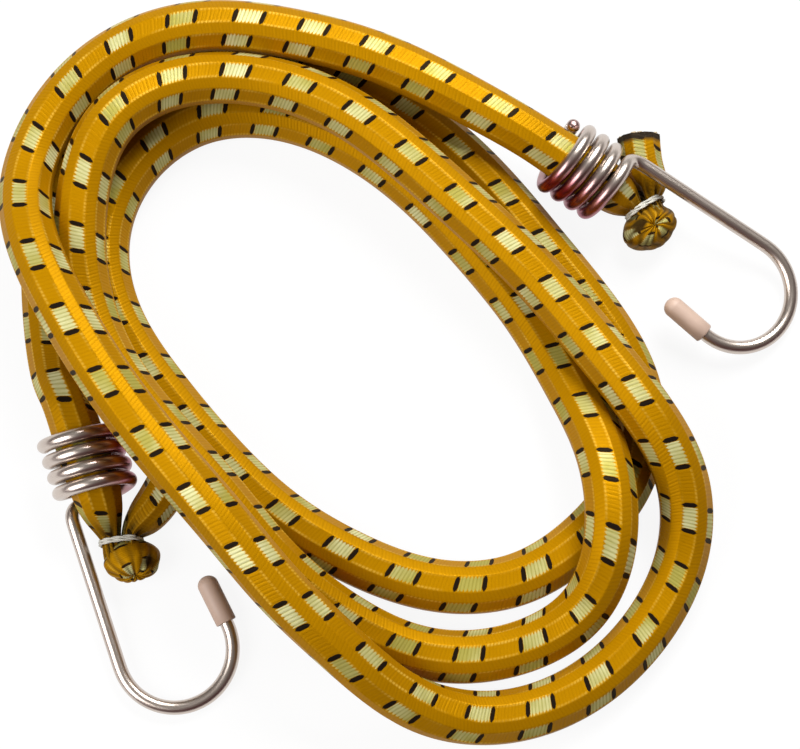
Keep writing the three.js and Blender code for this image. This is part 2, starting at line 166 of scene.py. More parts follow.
def cord_at(place):
    """Middle, direction and half sizes of the cord; place counts the control points from tail B."""
    ends = (2 * cord_controls[0] - cord_controls[1], 2 * cord_controls[-1] - cord_controls[-2])
    padded = np.vstack([ends[0], cord_controls, ends[1]])
    first = np.clip(np.floor(place).astype(int), 0, len(cord_controls) - 2)
    t = (place - first)[:, None]
    near = [padded[first + k] for k in range(4)]
    weights = [(1 - t) ** 3, 3 * t**3 - 6 * t**2 + 4, -3 * t**3 + 3 * t**2 + 3 * t + 1, t**3]
    slopes = [-((1 - t) ** 2), 3 * t**2 - 4 * t, -3 * t**2 + 2 * t + 1, t**2]
    value = sum(w * p for w, p in zip(weights, near)) / 6
    along = sum(w * p for w, p in zip(slopes, near))[:, :3]
    along /= np.linalg.norm(along, axis=1)[:, None]
    return value[:, :3], along, value[:, 3], value[:, 4]


STEPS_PER_CONTROL = 60
fine_places = np.linspace(0, len(cord_controls) - 1, STEPS_PER_CONTROL * len(cord_controls))
fine_steps = np.diff(cord_at(fine_places)[0], axis=0)
fine_lengths = np.concatenate([[0], np.cumsum(np.linalg.norm(fine_steps, axis=1))])
CORD_LENGTH = fine_lengths[-1]
STRETCH_LENGTH = 0.024
LEG_PLACE = len(COIL_LEG) + len(NECK_LEGS) + len(TAIL_SIZES) - 2
leg_b = np.interp(LEG_PLACE, fine_places, fine_lengths)
leg_a = np.interp(len(cord_controls) - 1 - LEG_PLACE, fine_places, fine_lengths)

# Sheath: 24 polyester yarns braided two over two, so six wide ribs of flat yarn floats run along the
# cord between six narrow ones. Twelve yarns wind each way and one turn of a yarn takes one lay.
LAY = 0.0125
YARNS_EACH_WAY = 12
RIBS = 6
RIB_COLUMNS = (0, 0.035, 0.3, 0.565, 0.6, 0.635, 0.8, 0.965)
RINGS_PER_LAY = 16
WIDE_RIB = 0.6
RIB_FLAT = 0.00027
NARROW_FLATNESS = 0.3
GROUND = 0.00005
ROUND_OFF = 1e-6
MERGE_DISTANCE = 1e-7
# Puckers of the braid where the cord is squeezed narrower than it lies free.
FREE_HALF_WIDTH = 0.0043
PUCKER_RANGE = 0.0018
PUCKERS = 9
PUCKER_SLANT = 3
PUCKER_DEPTH = 0.0006
# Lays counted along the cord, and the slow twist of its ribs in degrees, by length from tail B.
LAY_MARKS = [
    (0, -0.24), (0.0694, 5.03), (0.1434, 11.03), (0.2228, 17.03), (0.2875, 22.03),
    (0.3019, 23.2), (0.3504, 27.2), (0.4353, 34.2), (1.3, 103.4),
]
TWIST_MARKS = [
    (0, 20), (0.07, 21), (0.143, 12), (0.223, 24), (0.2875, 46), (0.302, 67), (0.35, 71),
]


def marked(lengths, marks):
    return np.interp(lengths, *zip(*marks))


def sheet_tube(name, points, lengthwise, turn, shade_share=None):
    """Closed tube: a grid placed point by point (ring, column), with its length and turn as UV.

    The last argument gives each point a painted shade, from 0 to 1, for creases, hollows and squeezed
    parts."""
    rings, sides = points.shape[0] - 1, points.shape[1] - 1
    bm = bmesh.new()
    bmesh.ops.create_grid(bm, x_segments=rings, y_segments=sides, size=0.5)
    flat = np.array([v.co[:] for v in bm.verts])
    i = np.rint((flat[:, 0] + 0.5) * rings).astype(int)
    j = np.rint((flat[:, 1] + 0.5) * sides).astype(int)
    place = points[i, j]
    place[:, 2] = np.maximum(place[:, 2], GROUND)
    uv = bm.loops.layers.uv.new("weave")
    for face in bm.faces:
        for loop in face.loops:
            k = loop.vert.index
            loop[uv].uv = (lengthwise[i[k]], turn[j[k]])
        face.smooth = True
    for vert, point in zip(bm.verts, place):
        vert.co = point
    if shade_share is not None:
        painted_shade = bm.verts.layers.float.new("painted_shade")
        for vert, depth in zip(bm.verts, shade_share[i, j]):
            vert[painted_shade] = depth
    bmesh.ops.remove_doubles(bm, verts=bm.verts, dist=MERGE_DISTANCE)
    rims = [edge for edge in bm.edges if edge.is_boundary]
    bmesh.ops.holes_fill(bm, edges=rims)
    for edge in rims:
        edge.smooth = False
    bmesh.ops.recalc_face_normals(bm, faces=bm.faces)
    mesh = bpy.data.meshes.new(name)
    bm.to_mesh(mesh)
    bm.free()
    piece = bpy.data.objects.new(name, mesh)
    scene.collection.objects.link(piece)
    return piece


def sweep(name, middle, side, rise, across, up, lengthwise, turn, shade_share=None):
    """Tube round a line of middles, by how far each point lies across and up from it."""
    points = middle[:, None] + side[:, None] * across[..., None] + rise[:, None] * up[..., None]
    return sheet_tube(name, points, lengthwise, turn, shade_share)


def braid_length(name, start, end):
    """One length of the braided cord, measured along it from tail B."""
    rings = round((end - start) / LAY * RINGS_PER_LAY)
    lengths = np.linspace(start, end, rings + 1)
    places = np.interp(lengths, fine_lengths, fine_places)
    middle, along, half_width, half_height = cord_at(places)
    side = np.cross((0, 0, 1), along)
    side /= np.linalg.norm(side, axis=1)[:, None]
    rise = np.cross(along, side)
    columns = [(k + share) / RIBS for k in range(RIBS) for share in RIB_COLUMNS] + [1]
    turn = np.array(columns)[None, :]
    lays = marked(lengths, LAY_MARKS)[:, None]
    over = (RIBS * turn + ROUND_OFF) % 1
    wide = over <= WIDE_RIB + 10 * ROUND_OFF
    from_middle = np.where(wide, over / WIDE_RIB, (over - WIDE_RIB) / (1 - WIDE_RIB)) * 2 - 1
    flat = RIB_FLAT * np.where(wide, 1, NARROW_FLATNESS) * (1 - from_middle**2)
    squeezed = np.clip((FREE_HALF_WIDTH - half_width) / PUCKER_RANGE, 0, 1)[:, None]
    wave = np.cos(2 * math.pi * PUCKERS * turn + PUCKER_SLANT * lays)
    puckers = squeezed * (0.5 - 0.5 * wave) ** 2
    relief = -flat - PUCKER_DEPTH * puckers
    angle = 2 * math.pi * turn + np.radians(marked(lengths, TWIST_MARKS))[:, None]
    across = (half_width[:, None] + relief) * np.cos(angle)
    up = (half_height[:, None] + relief) * np.sin(angle)
    # Painted shade where the cord is squeezed and in the valleys of its puckers.
    shade_share = 0.5 * squeezed + 0.5 * puckers
    return sweep(name, middle, side, rise, across, up, lays[:, 0], columns, shade_share)


class Nodes:
    """Node tree of one material, with short ways to add and join its nodes."""

    def __init__(self, name):
        self.material = bpy.data.materials.new(name)
        self.material.use_nodes = True
        self.tree = self.material.node_tree
        self.shader = self.tree.nodes["Principled BSDF"]

    def add(self, kind, **settings):
        node = self.tree.nodes.new(kind)
        for key, value in settings.items():
            setattr(node, key, value)
        return node

    def join(self, value, socket):
        if isinstance(value, bpy.types.NodeSocket):
            self.tree.links.new(value, socket)
        else:
            socket.default_value = value

    def math(self, operation, *values, clamp=False):
        node = self.add("ShaderNodeMath", operation=operation, use_clamp=clamp)
        for value, socket in zip(values, node.inputs):
            self.join(value, socket)
        return node.outputs[0]

    def mix(self, share, first, second):
        node = self.add("ShaderNodeMix", data_type="RGBA")
        self.join(share, node.inputs["Factor"])
        self.join(first, node.inputs["A"])
        self.join(second, node.inputs["B"])
        return node.outputs["Result"]

    def noise(self, vector, scale, detail=2.0):
        node = self.add("ShaderNodeTexNoise")
        self.join(vector, node.inputs["Vector"])
        self.join(scale, node.inputs["Scale"])
        self.join(detail, node.inputs["Detail"])
        return node.outputs["Fac"]

    def vector(self, x, y):
        node = self.add("ShaderNodeCombineXYZ")
        for value, socket in zip((x, y), node.inputs):
            self.join(value, socket)
        return node.outputs[0]

    def bump(self, height, distance, strength):
        node = self.add("ShaderNodeBump")
        self.join(height, node.inputs["Height"])
        self.join(distance, node.inputs["Distance"])
        self.join(strength, node.inputs["Strength"])
        self.join(node.outputs["Normal"], self.shader.inputs["Normal"])

    def weave(self):
        """Length and turn along a swept piece."""
        uv = self.add("ShaderNodeUVMap", uv_map="weave")
        split = self.add("ShaderNodeSeparateXYZ")
        self.join(uv.outputs[0], split.inputs[0])
        return split.outputs[0], split.outputs[1]

    def place(self):
        return self.add("ShaderNodeTexCoord").outputs["Object"]


YELLOW = (0.45, 0.212, 0.0006, 1)
# Yellow painted as shade between the yarns.
SHADED_YELLOW = (0.30, 0.132, 0.0003, 1)
CREAM = (0.68, 0.67, 0.37, 1)
WORN_CREAM = (0.40, 0.35, 0.08, 1)
# Pale green painted as shade between the pale yarns.
SHADED_PALE_GREEN = (0.24, 0.22, 0.03, 1)
# Painted shade in creases, puckers, hollows and where the cord is squeezed.
FOLD_SHADE = (0.036, 0.019, 0.005, 1)
# Painted highlight on the yarns at the corners of the wide ribs.
PAINTED_GLINT = (0.95, 0.64, 0.10, 1)
BLACK = (0.012, 0.008, 0.006, 1)
SINGED = (0.030, 0.022, 0.016, 1)
SATIN_TINT = (1, 0.74, 0.06, 1)
SATIN = 0.2
# Among the yarns of one way, two are black and those between them are pale.
FIRST_BLACK, SECOND_BLACK = 0, 5
PALE_REACH = 1.6
ENDS_IN_YARN = 1.5
FIBRES_IN_YARN = 6.0
FIBRE_STRETCH = 0.6
FLOAT_SQUARING = 0.4
# Where a float ends, from the middle of the narrow rib beside it, as a share of the ribs' spacing.
FLOAT_END, FLOAT_SERRATION = 0.30, 0.09
BLACK_END, BLACK_ROUNDING = 0.37, 0.18
FLOAT_SHARPNESS = 22.0
FRAYING = 0.12
CORNER_GLINT = 0.24
CORNER_SHARPNESS = 14.0
SINGED_LENGTH = 0.0009
BRAID_RELIEF = 0.00008
BRAID_RELIEF_STRENGTH = 0.4
# Patches of wear, and patches where the painted glints show, to the metre.
WEAR_SCALE = 70.0
SHINE_SCALE = 110.0

sheath = Nodes("braided_polyester")
length, turn = sheath.weave()

# The ribs, and the yarns of each way counted across them.
rib = sheath.math("FRACT", sheath.math("MULTIPLY_ADD", turn, RIBS, (1 - WIDE_RIB) / 2))
from_wide = sheath.math("SUBTRACT", rib, 0.5)
from_narrow = sheath.math("SUBTRACT", sheath.math("FRACT", sheath.math("ADD", rib, 0.5)), 0.5)
rib_inside = sheath.math("SUBTRACT", 0.5, sheath.math("ABSOLUTE", from_wide))
one_turn = sheath.math("MULTIPLY_ADD", from_wide, -FLOAT_SQUARING / RIBS, turn)
other_turn = sheath.math("MULTIPLY_ADD", from_narrow, -FLOAT_SQUARING / RIBS, turn)
one_way = sheath.math("MULTIPLY", sheath.math("ADD", length, one_turn), YARNS_EACH_WAY)
other_way = sheath.math("MULTIPLY", sheath.math("SUBTRACT", length, other_turn), YARNS_EACH_WAY)


def rounded(count):
    """Height of a round yarn or end, 1 at its middle and 0 at its sides."""
    part = sheath.math("FRACT", count)
    sides = sheath.math("MULTIPLY", part, sheath.math("SUBTRACT", 1.0, part))
    return sheath.math("MULTIPLY", sides, 4.0)


def fibres(one_scale, other_scale):
    """Streaks that are fine across the yarns of one way and long along them."""
    one = sheath.math("MULTIPLY", one_way, one_scale)
    other = sheath.math("MULTIPLY", other_way, other_scale)
    return sheath.noise(sheath.vector(one, other), 1.0)


one_height = rounded(one_way)
other_height = rounded(other_way)
one_ends = rounded(sheath.math("MULTIPLY", one_way, ENDS_IN_YARN))
other_ends = rounded(sheath.math("MULTIPLY", other_way, ENDS_IN_YARN))
one_fibres = fibres(FIBRES_IN_YARN, FIBRE_STRETCH)
other_fibres = fibres(FIBRE_STRETCH, FIBRES_IN_YARN)

# Which yarns are black or pale, and where their floats end on the wide ribs.
yarn_number = sheath.math("FLOOR", sheath.math("FLOORED_MODULO", one_way, YARNS_EACH_WAY))
first_black = sheath.math("COMPARE", yarn_number, FIRST_BLACK, 0.5)
second_black = sheath.math("COMPARE", yarn_number, SECOND_BLACK, 0.5)
black_yarn = sheath.math("ADD", first_black, second_black, clamp=True)
pale_yarn = sheath.math("COMPARE", yarn_number, (FIRST_BLACK + SECOND_BLACK) / 2, PALE_REACH)
float_end = sheath.math("MULTIPLY_ADD", one_ends, -FLOAT_SERRATION, FLOAT_END)
black_end = sheath.math("MULTIPLY_ADD", one_height, -BLACK_ROUNDING, BLACK_END)
longer = sheath.math("SUBTRACT", black_end, float_end)
float_end = sheath.math("MULTIPLY_ADD", black_yarn, longer, float_end)
frayed = sheath.math("MULTIPLY_ADD", one_fibres, FRAYING, -FRAYING / 2)
in_float = sheath.math("ADD", sheath.math("SUBTRACT", rib_inside, float_end), frayed)
on_wide_rib = sheath.math("MULTIPLY", in_float, FLOAT_SHARPNESS, clamp=True)

# Colours: painted highlight on the crowns of the yarns and painted shade between them, dulled in worn
# patches.
patches = sheath.noise(sheath.place(), WEAR_SCALE, 3.0)
worn = sheath.math("MULTIPLY_ADD", patches, 0.5, -0.25)
one_shade_and_wear = sheath.math("ADD", sheath.math("MULTIPLY_ADD", one_ends, 0.2, 0.55), worn, clamp=True)
other_shade_and_wear = sheath.math("ADD", sheath.math("MULTIPLY_ADD", other_ends, 0.2, 0.5), worn, clamp=True)
one_yellow = sheath.mix(one_shade_and_wear, SHADED_YELLOW, YELLOW)
other_yellow = sheath.mix(other_shade_and_wear, SHADED_YELLOW, YELLOW)
pale_base = sheath.math("MULTIPLY_ADD", one_fibres, 0.6, 0.05)
pale_shade_and_fibres = sheath.math("MULTIPLY_ADD", one_ends, 0.6, pale_base, clamp=True)
pale_wear = sheath.math("MULTIPLY_ADD", patches, 4.0, -1.3, clamp=True)
pale = sheath.mix(pale_shade_and_fibres, SHADED_PALE_GREEN, sheath.mix(pale_wear, CREAM, WORN_CREAM))
black_middle = sheath.math("MULTIPLY_ADD", one_height, 4.0, -0.5, clamp=True)
black_share = sheath.math("MULTIPLY", black_yarn, black_middle)
one_colour = sheath.mix(black_share, sheath.mix(pale_yarn, one_yellow, pale), BLACK)
woven = sheath.mix(on_wide_rib, other_yellow, one_colour)

# Glints painted into the colour as highlights where the yarns turn over the corners of the wide ribs.
off_corner = sheath.math("ABSOLUTE", sheath.math("SUBTRACT", rib_inside, CORNER_GLINT))
at_corner = sheath.math("MULTIPLY_ADD", off_corner, -CORNER_SHARPNESS, 1.0, clamp=True)
shining = sheath.noise(sheath.place(), SHINE_SCALE)
shining = sheath.math("MULTIPLY_ADD", shining, 3.0, -1.1, clamp=True)
shining = sheath.math("MULTIPLY", shining, sheath.math("SUBTRACT", 1.0, black_yarn))
glint_highlight_mask = sheath.math("MULTIPLY", at_corner, sheath.math("MULTIPLY", one_ends, one_fibres))
woven = sheath.mix(sheath.math("MULTIPLY", glint_highlight_mask, shining), woven, PAINTED_GLINT)

# Painted shade in the folds and puckers and at the squeezed neck, and the singed rim at each cut end.
first_cut, last_cut = marked([0, CORD_LENGTH], LAY_MARKS)
from_first = sheath.math("SUBTRACT", length, first_cut)
from_last = sheath.math("SUBTRACT", last_cut, length)
from_cut = sheath.math("MINIMUM", from_first, from_last)
ragged = sheath.math("MULTIPLY_ADD", one_fibres, 0.9, 1.6)
singed = sheath.math("MULTIPLY_ADD", from_cut, -LAY / SINGED_LENGTH, ragged, clamp=True)
painted_shade = sheath.add("ShaderNodeAttribute", attribute_name="painted_shade").outputs["Fac"]
cloth = sheath.mix(singed, sheath.mix(painted_shade, woven, FOLD_SHADE), SINGED)
sheath.join(cloth, sheath.shader.inputs["Base Color"])

# Relief of yarns, ends and fibres, and the satin shine of polyester, which black yarn has less of.
one_relief = sheath.math("MULTIPLY_ADD", one_fibres, 0.25, sheath.math("MULTIPLY", one_height, 0.4))
one_relief = sheath.math("MULTIPLY_ADD", one_ends, 0.7, one_relief)
other_relief = sheath.math("MULTIPLY_ADD", other_fibres, 0.25, sheath.math("MULTIPLY", other_height, 0.3))
other_relief = sheath.math("MULTIPLY_ADD", other_ends, 0.6, other_relief)
relief_mix = sheath.add("ShaderNodeMix", data_type="FLOAT")
sheath.join(on_wide_rib, relief_mix.inputs["Factor"])
sheath.join(other_relief, relief_mix.inputs["A"])
sheath.join(one_relief, relief_mix.inputs["B"])
sheath.bump(relief_mix.outputs["Result"], BRAID_RELIEF, BRAID_RELIEF_STRENGTH)
sheath.join(sheath.math("MULTIPLY_ADD", one_fibres, 0.2, 0.34), sheath.shader.inputs["Roughness"])
dull = sheath.math("MAXIMUM", sheath.math("MULTIPLY", black_yarn, on_wide_rib), singed)
sheath.join(sheath.math("MULTIPLY_ADD", dull, -0.08, 0.12), sheath.shader.inputs["Specular IOR Level"])
sheath.join(SATIN_TINT, sheath.shader.inputs["Specular Tint"])
sheath.join(SATIN, sheath.shader.inputs["Metallic"])

PATH_POINTS = 560
pile_start, pile_end = leg_b + STRETCH_LENGTH, leg_a - STRETCH_LENGTH
pile_cord = braid_length("pile_cord", pile_start, pile_end)
pile_cord.data.materials.append(sheath.material)
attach(pile_cord, "cord")
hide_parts("sheath_winding", "core_winding")
pile_lengths = np.linspace(pile_start, pile_end, PATH_POINTS)
pile_path = cord_at(np.interp(pile_lengths, fine_lengths, fine_places))[0]


def stretch_cord(letter, start, end):
    piece = braid_length("stretch_cord_" + letter, start, end)
    piece.data.materials.append(sheath.material)
    ends = np.array([start, end]) if letter == "a" else np.array([end, start])
    still, moving = cord_at(np.interp(ends, fine_lengths, fine_places))[0]
    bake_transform(piece)
    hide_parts("sheath_stretch_" + letter, "core_stretch_" + letter)


stretch_cord("a", pile_end, leg_a)
stretch_cord("b", leg_b, pile_start)

# Bound ends: past the hook the cord is squeezed to half its width, folded back into a knob and tied
# at its neck, and its tail is cut off with a hot knife that leaves a singed rim.


def bound_cord(letter, start, end):
    piece = braid_length("bound_cord_" + letter, start, end)
    piece.data.materials.append(sheath.material)
    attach(piece, "cord_end_" + letter)
    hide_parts("sheath_end_" + letter)


bound_cord("a", leg_a, CORD_LENGTH)
bound_cord("b", 0, leg_b)

# Knobs: the fold itself, bunched by the thread into a round ball of the same braid. Its pleats gather at
# one pole, and a hollow is left beside them. The pleats and the hollow are painted with shade, and so is
# the ball away from that pole.
KNOB_PLACE = 0.0037
KNOB_COLUMNS = 130
KNOB_FILL = 0.97
KNOB_LAYS = 1.9
KNOB_PLEATS = 13
PLEAT_DEPTH = 0.10
EYE_DEPTH, EYE_SIZE = 0.20, 0.07
HOLLOW_DEPTH, HOLLOW_SIZE = 0.14, 0.05
DIM_FROM = 0.22


def knob(letter, end, half_sizes, gathered, hollow, lays_there, wavy, dim):
    """Share runs from the gathered pole, 0, to the far one, 1."""
    place = hook_frame(end) @ neck_frame(end)
    heading = math.radians(end["heading"] + end["neck_turn"])
    turn_knob = np.array(Matrix.Rotation(heading, 3, "Z"))
    centre = turn_knob @ np.array((KNOB_PLACE, end["knob_lean"], 0))
    centre += (place.translation.x, place.translation.y, LYING_HEIGHT)
    columns = np.linspace(0, 1, KNOB_COLUMNS + 1)
    share = np.concatenate([np.linspace(0.02, 0.2, 20)[:-1], np.linspace(0.2, 0.985, 50)])
    from_pole = share[:, None]
    around, down = 2 * math.pi * columns[None, :], math.pi * from_pole
    waver = 0.8 * np.sin(2 * around + 1) + 1.2 * np.sin(3 * down) + 0.7 * np.sin(5 * around + 4 * down)
    pleats = np.abs(np.sin(KNOB_PLEATS / 2 * around + wavy * waver)) ** 3 * np.exp(-1.2 * from_pole)
    bulges = 0.03 * np.sin(3 * around + 5 * down) + 0.025 * np.sin(4 * around - 3 * down)
    eye = np.exp(-((from_pole / EYE_SIZE) ** 2))
    pole = np.array(gathered) / np.linalg.norm(gathered)
    first = np.cross((0.0, 1, 0), pole)
    first /= np.linalg.norm(first)
    second = np.cross(pole, first)
    ball = np.cos(down)[..., None] * pole
    ball = ball + (np.sin(down) * np.cos(around))[..., None] * first
    ball = ball + (np.sin(down) * np.sin(around))[..., None] * second
    away = 1 - ball @ (np.array(hollow) / np.linalg.norm(hollow))
    opening = np.exp(-((away / HOLLOW_SIZE) ** 2))
    reach = KNOB_FILL - PLEAT_DEPTH * pleats * np.exp(-2.2 * from_pole) + bulges * np.sin(down)
    reach = reach - EYE_DEPTH * eye - HOLLOW_DEPTH * opening
    # Painted shade: darker away from the gathered pole, in the pleats and in the hollow.
    dimmed = dim * (1 - np.exp(-((from_pole / DIM_FROM) ** 2)))
    dimmed = np.clip(dimmed + 0.6 * pleats + 0.9 * opening, 0, 1)
    points = (ball * reach[..., None] * half_sizes) @ turn_knob.T + centre
    piece = sheet_tube("knob_" + letter, points, lays_there + KNOB_LAYS * share, columns, dimmed)
    piece.data.materials.append(sheath.material)
    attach(piece, "cord_end_" + letter)
    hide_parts("sheath_end_" + letter)


knob(
    "a", END_A, half_sizes=(0.0041, 0.0053, 0.0039), gathered=(0.9, 0.1, 0.45), hollow=(0.2, 0.75, 0.6),
    lays_there=30.4, wavy=0.4, dim=0.12,
)
knob(
    "b", END_B, half_sizes=(0.0041, 0.0057, 0.0039), gathered=(0.15, 0.1, 1), hollow=(-0.25, -0.42, 0.87),
    lays_there=20.9, wavy=1, dim=0.5,
)

# Rubber core: a bundle of natural-rubber threads that fills the sheath and shows at each cut tail.
# The threads are square strips, cut off level with the sheath and sprung back a little into it.
STRIP_WIDTH = 0.0011
STRIP_FIT = 0.94
STRIP_LENGTH = 0.003
STRIP_EDGE = 0.00015
STRIP_REACH = 4
ROW_SHIFT = 0.0003
CUT_PROUD, CUT_UNEVEN = 0.00022, 0.00025
CORE_MARGIN = 0.0009
DARK_RUBBER = (0.40, 0.29, 0.16, 1)
LIGHT_RUBBER = (0.62, 0.50, 0.32, 1)

rubber = Nodes("natural_rubber")
specks = rubber.noise(rubber.place(), 900.0)
rubber.join(rubber.mix(specks, DARK_RUBBER, LIGHT_RUBBER), rubber.shader.inputs["Base Color"])
rubber.join(0.7, rubber.shader.inputs["Roughness"])
rubber.bump(rubber.noise(rubber.place(), 2200.0), 0.00005, 0.5)


def rubber_core(letter, cut, inwards):
    at_cut = cord_at(np.interp([cut], fine_lengths, fine_places))
    middle, along, half_width, half_height = (values[0] for values in at_cut)
    out = -inwards * along
    side = np.cross((0, 0, 1), out)
    side /= np.linalg.norm(side)
    rise = np.cross(out, side)
    reach = half_width - CORE_MARGIN, half_height - CORE_MARGIN
    width = STRIP_WIDTH * STRIP_FIT
    bm = bmesh.new()
    steps = range(-STRIP_REACH, STRIP_REACH + 1)
    for a in steps:
        for b in steps:
            x, y = a * STRIP_WIDTH + ROW_SHIFT * (b % 2), b * STRIP_WIDTH
            if (x / reach[0]) ** 2 + (y / reach[1]) ** 2 > 1:
                continue
            proud = CUT_UNEVEN * math.sin(7.1 * a + 3.7 * b) + CUT_PROUD
            askew = Matrix.Rotation(0.4 * math.sin(a + 2 * b), 3, "Z")
            strip = bmesh.ops.create_cube(bm, size=1)["verts"]
            bmesh.ops.scale(bm, vec=(width, width, STRIP_LENGTH), verts=strip)
            bmesh.ops.rotate(bm, matrix=askew, verts=strip)
            bmesh.ops.translate(bm, vec=(x, y, proud - STRIP_LENGTH / 2), verts=strip)
    turn_out = Matrix((side, rise, out)).transposed().to_4x4()
    bmesh.ops.transform(bm, matrix=Matrix.Translation(middle) @ turn_out, verts=bm.verts)
    bmesh.ops.bevel(
        bm, geom=bm.edges, offset=STRIP_EDGE, offset_type="OFFSET", segments=2, profile=0.5,
        affect="EDGES", material=-1,
    )
    mesh = bpy.data.meshes.new("rubber_core_" + letter)
    bm.to_mesh(mesh)
    bm.free()
    mesh.materials.append(rubber.material)
    piece = bpy.data.objects.new(mesh.name, mesh)
    scene.collection.objects.link(piece)
    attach(piece, "cord_end_" + letter)
    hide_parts("core_end_" + letter)


rubber_core("a", CORD_LENGTH, -1)
rubber_core("b", 0, 1)

# Thread whipping: white two-ply cotton thread, wound tightly round both legs of the neck to hold the
# fold shut.
NECK_HALF_WIDTH = 0.0035
NECK_HALF_HEIGHT = 0.0029
PLY_RADIUS = 0.0002
PLY_SIDES = 8
PLY_OFFSET = 0.00012
PLY_LAY = 0.0042
WHIPPING_TURNS = 1.9
WHIPPING_STEPS = 90
WHIPPING_START = 0.8
WHIPPING_PITCH = 0.00052
WHIPPING_SQUARENESS = 2.4
GREY_COTTON = (0.46, 0.45, 0.38, 1)
WHITE_COTTON = (0.72, 0.71, 0.64, 1)


def carried_frames(points):
    """Two directions square to a line at each of its points, carried along it without twist."""
    along = np.gradient(points, axis=0)
    along /= np.linalg.norm(along, axis=1)[:, None]
    side = np.zeros_like(points)
    side[0] = np.cross(along[0], (0.31, 0.77, 0.55))
    for k in range(len(points)):
        if k:
            side[k] = side[k - 1]
        side[k] -= along[k] * np.dot(side[k], along[k])
        side[k] /= np.linalg.norm(side[k])
    return side, np.cross(along, side)


def round_tube(name, points, radius, sides):
    """Round tube along a line; radius is one number or one for each point."""
    side, rise = carried_frames(points)
    angle = np.linspace(0, 2 * math.pi, sides + 1)[None, :]
    size = np.broadcast_to(np.asarray(radius, float), (len(points),))[:, None]
    steps = np.linalg.norm(np.diff(points, axis=0), axis=1)
    lengthwise = np.concatenate([[0], np.cumsum(steps)])
    turn = np.linspace(0, 1, sides + 1)
    return sweep(name, points, side, rise, size * np.cos(angle), size * np.sin(angle), lengthwise, turn)


cotton = Nodes("white_thread")
length, turn = cotton.weave()
strand_place = cotton.vector(cotton.math("MULTIPLY", length, 900.0), cotton.math("MULTIPLY", turn, 9.0))
strands = cotton.noise(strand_place, 1.0, 3.0)
cotton.join(cotton.mix(strands, GREY_COTTON, WHITE_COTTON), cotton.shader.inputs["Base Color"])
cotton.join(0.75, cotton.shader.inputs["Roughness"])
cotton.join(0.2, cotton.shader.inputs["Sheen Weight"])
cotton.bump(strands, 0.00006, 0.7)


def join_pieces(name, pieces):
    """One object from several meshes that share a material."""
    bm = bmesh.new()
    for piece in pieces:
        bm.from_mesh(piece.data)
        bpy.data.objects.remove(piece)
    mesh = bpy.data.meshes.new(name)
    bm.to_mesh(mesh)
    bm.free()
    whole = bpy.data.objects.new(name, mesh)
    scene.collection.objects.link(whole)
    return whole


def squared(value):
    """Cosine or sine of a round, drawn out towards the corners of a square."""
    return np.sign(value) * np.abs(value) ** (2 / WHIPPING_SQUARENESS)


def whipping(letter, end):
    place = hook_frame(end) @ neck_frame(end)
    heading = math.radians(end["heading"] + end["neck_turn"])
    along = np.array((math.cos(heading), math.sin(heading), 0))
    left = np.array((-math.sin(heading), math.cos(heading), 0))
    middle = np.array((place.translation.x, place.translation.y, LYING_HEIGHT))
    turned = np.linspace(0, WHIPPING_TURNS, round(WHIPPING_TURNS * WHIPPING_STEPS))
    angle = 2 * math.pi * turned + WHIPPING_START
    line = middle + np.outer((turned - WHIPPING_TURNS / 2) * WHIPPING_PITCH, along)
    line += np.outer((NECK_HALF_WIDTH + 2 * PLY_RADIUS) * squared(np.cos(angle)), left)
    line[:, 2] += (NECK_HALF_HEIGHT + 2 * PLY_RADIUS) * squared(np.sin(angle))
    side, rise = carried_frames(line)
    steps = np.concatenate([[0], np.cumsum(np.linalg.norm(np.diff(line, axis=0), axis=1))])
    plies = []
    for start in (0, math.pi):
        twist = (2 * math.pi * steps / PLY_LAY + start)[:, None]
        ply = line + PLY_OFFSET * (np.cos(twist) * side + np.sin(twist) * rise)
        plies.append(round_tube("ply", ply, PLY_RADIUS, PLY_SIDES))
    piece = join_pieces("whipping_thread_" + letter, plies)
    piece.data.materials.append(cotton.material)
    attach(piece, "cord_end_" + letter)
    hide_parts("whipping_" + letter)


whipping("a", END_A)
whipping("b", END_B)

# Hooks: each is one bright-plated steel wire, wound close round the cord, then a bend, a straight
# shank and a J. The coil grips the cord behind the knob, and hook A is turned half round on its cord.
WIRE_RADIUS = 0.0013
WIRE_SIDES = 24
WIRE_STEP = 0.0005
CUT_RINGS = 8
CUT_ROUNDNESS = 0.75
COIL_RADIUS = 0.0066
COIL_PITCH = 0.00305
COIL_TURNS = 3.86
COIL_START = math.radians(90)
COIL_STEPS = 60
COIL_BEND = 0.0025
J_REACH = 0.037
J_RADIUS = 0.0106
J_TURN = math.radians(188)
J_STEPS = 60
TIP_LENGTH = 0.0082
SMOOTHINGS = 4
# Painted reflection: the coil's side that faces the pile is painted dark red, as it mirrors the pile and
# the dim room; the cut end is painted half as dark, as shade.
RED_REFLECTION_END = 0.0068
RED_REFLECTION_FROM, RED_REFLECTION_RANGE = 0.0005, 0.006
DULL_PLATING = (0.52, 0.44, 0.39, 1)
BRIGHT_PLATING = (0.72, 0.64, 0.57, 1)
RED_REFLECTION = (0.27, 0.022, 0.060, 1)


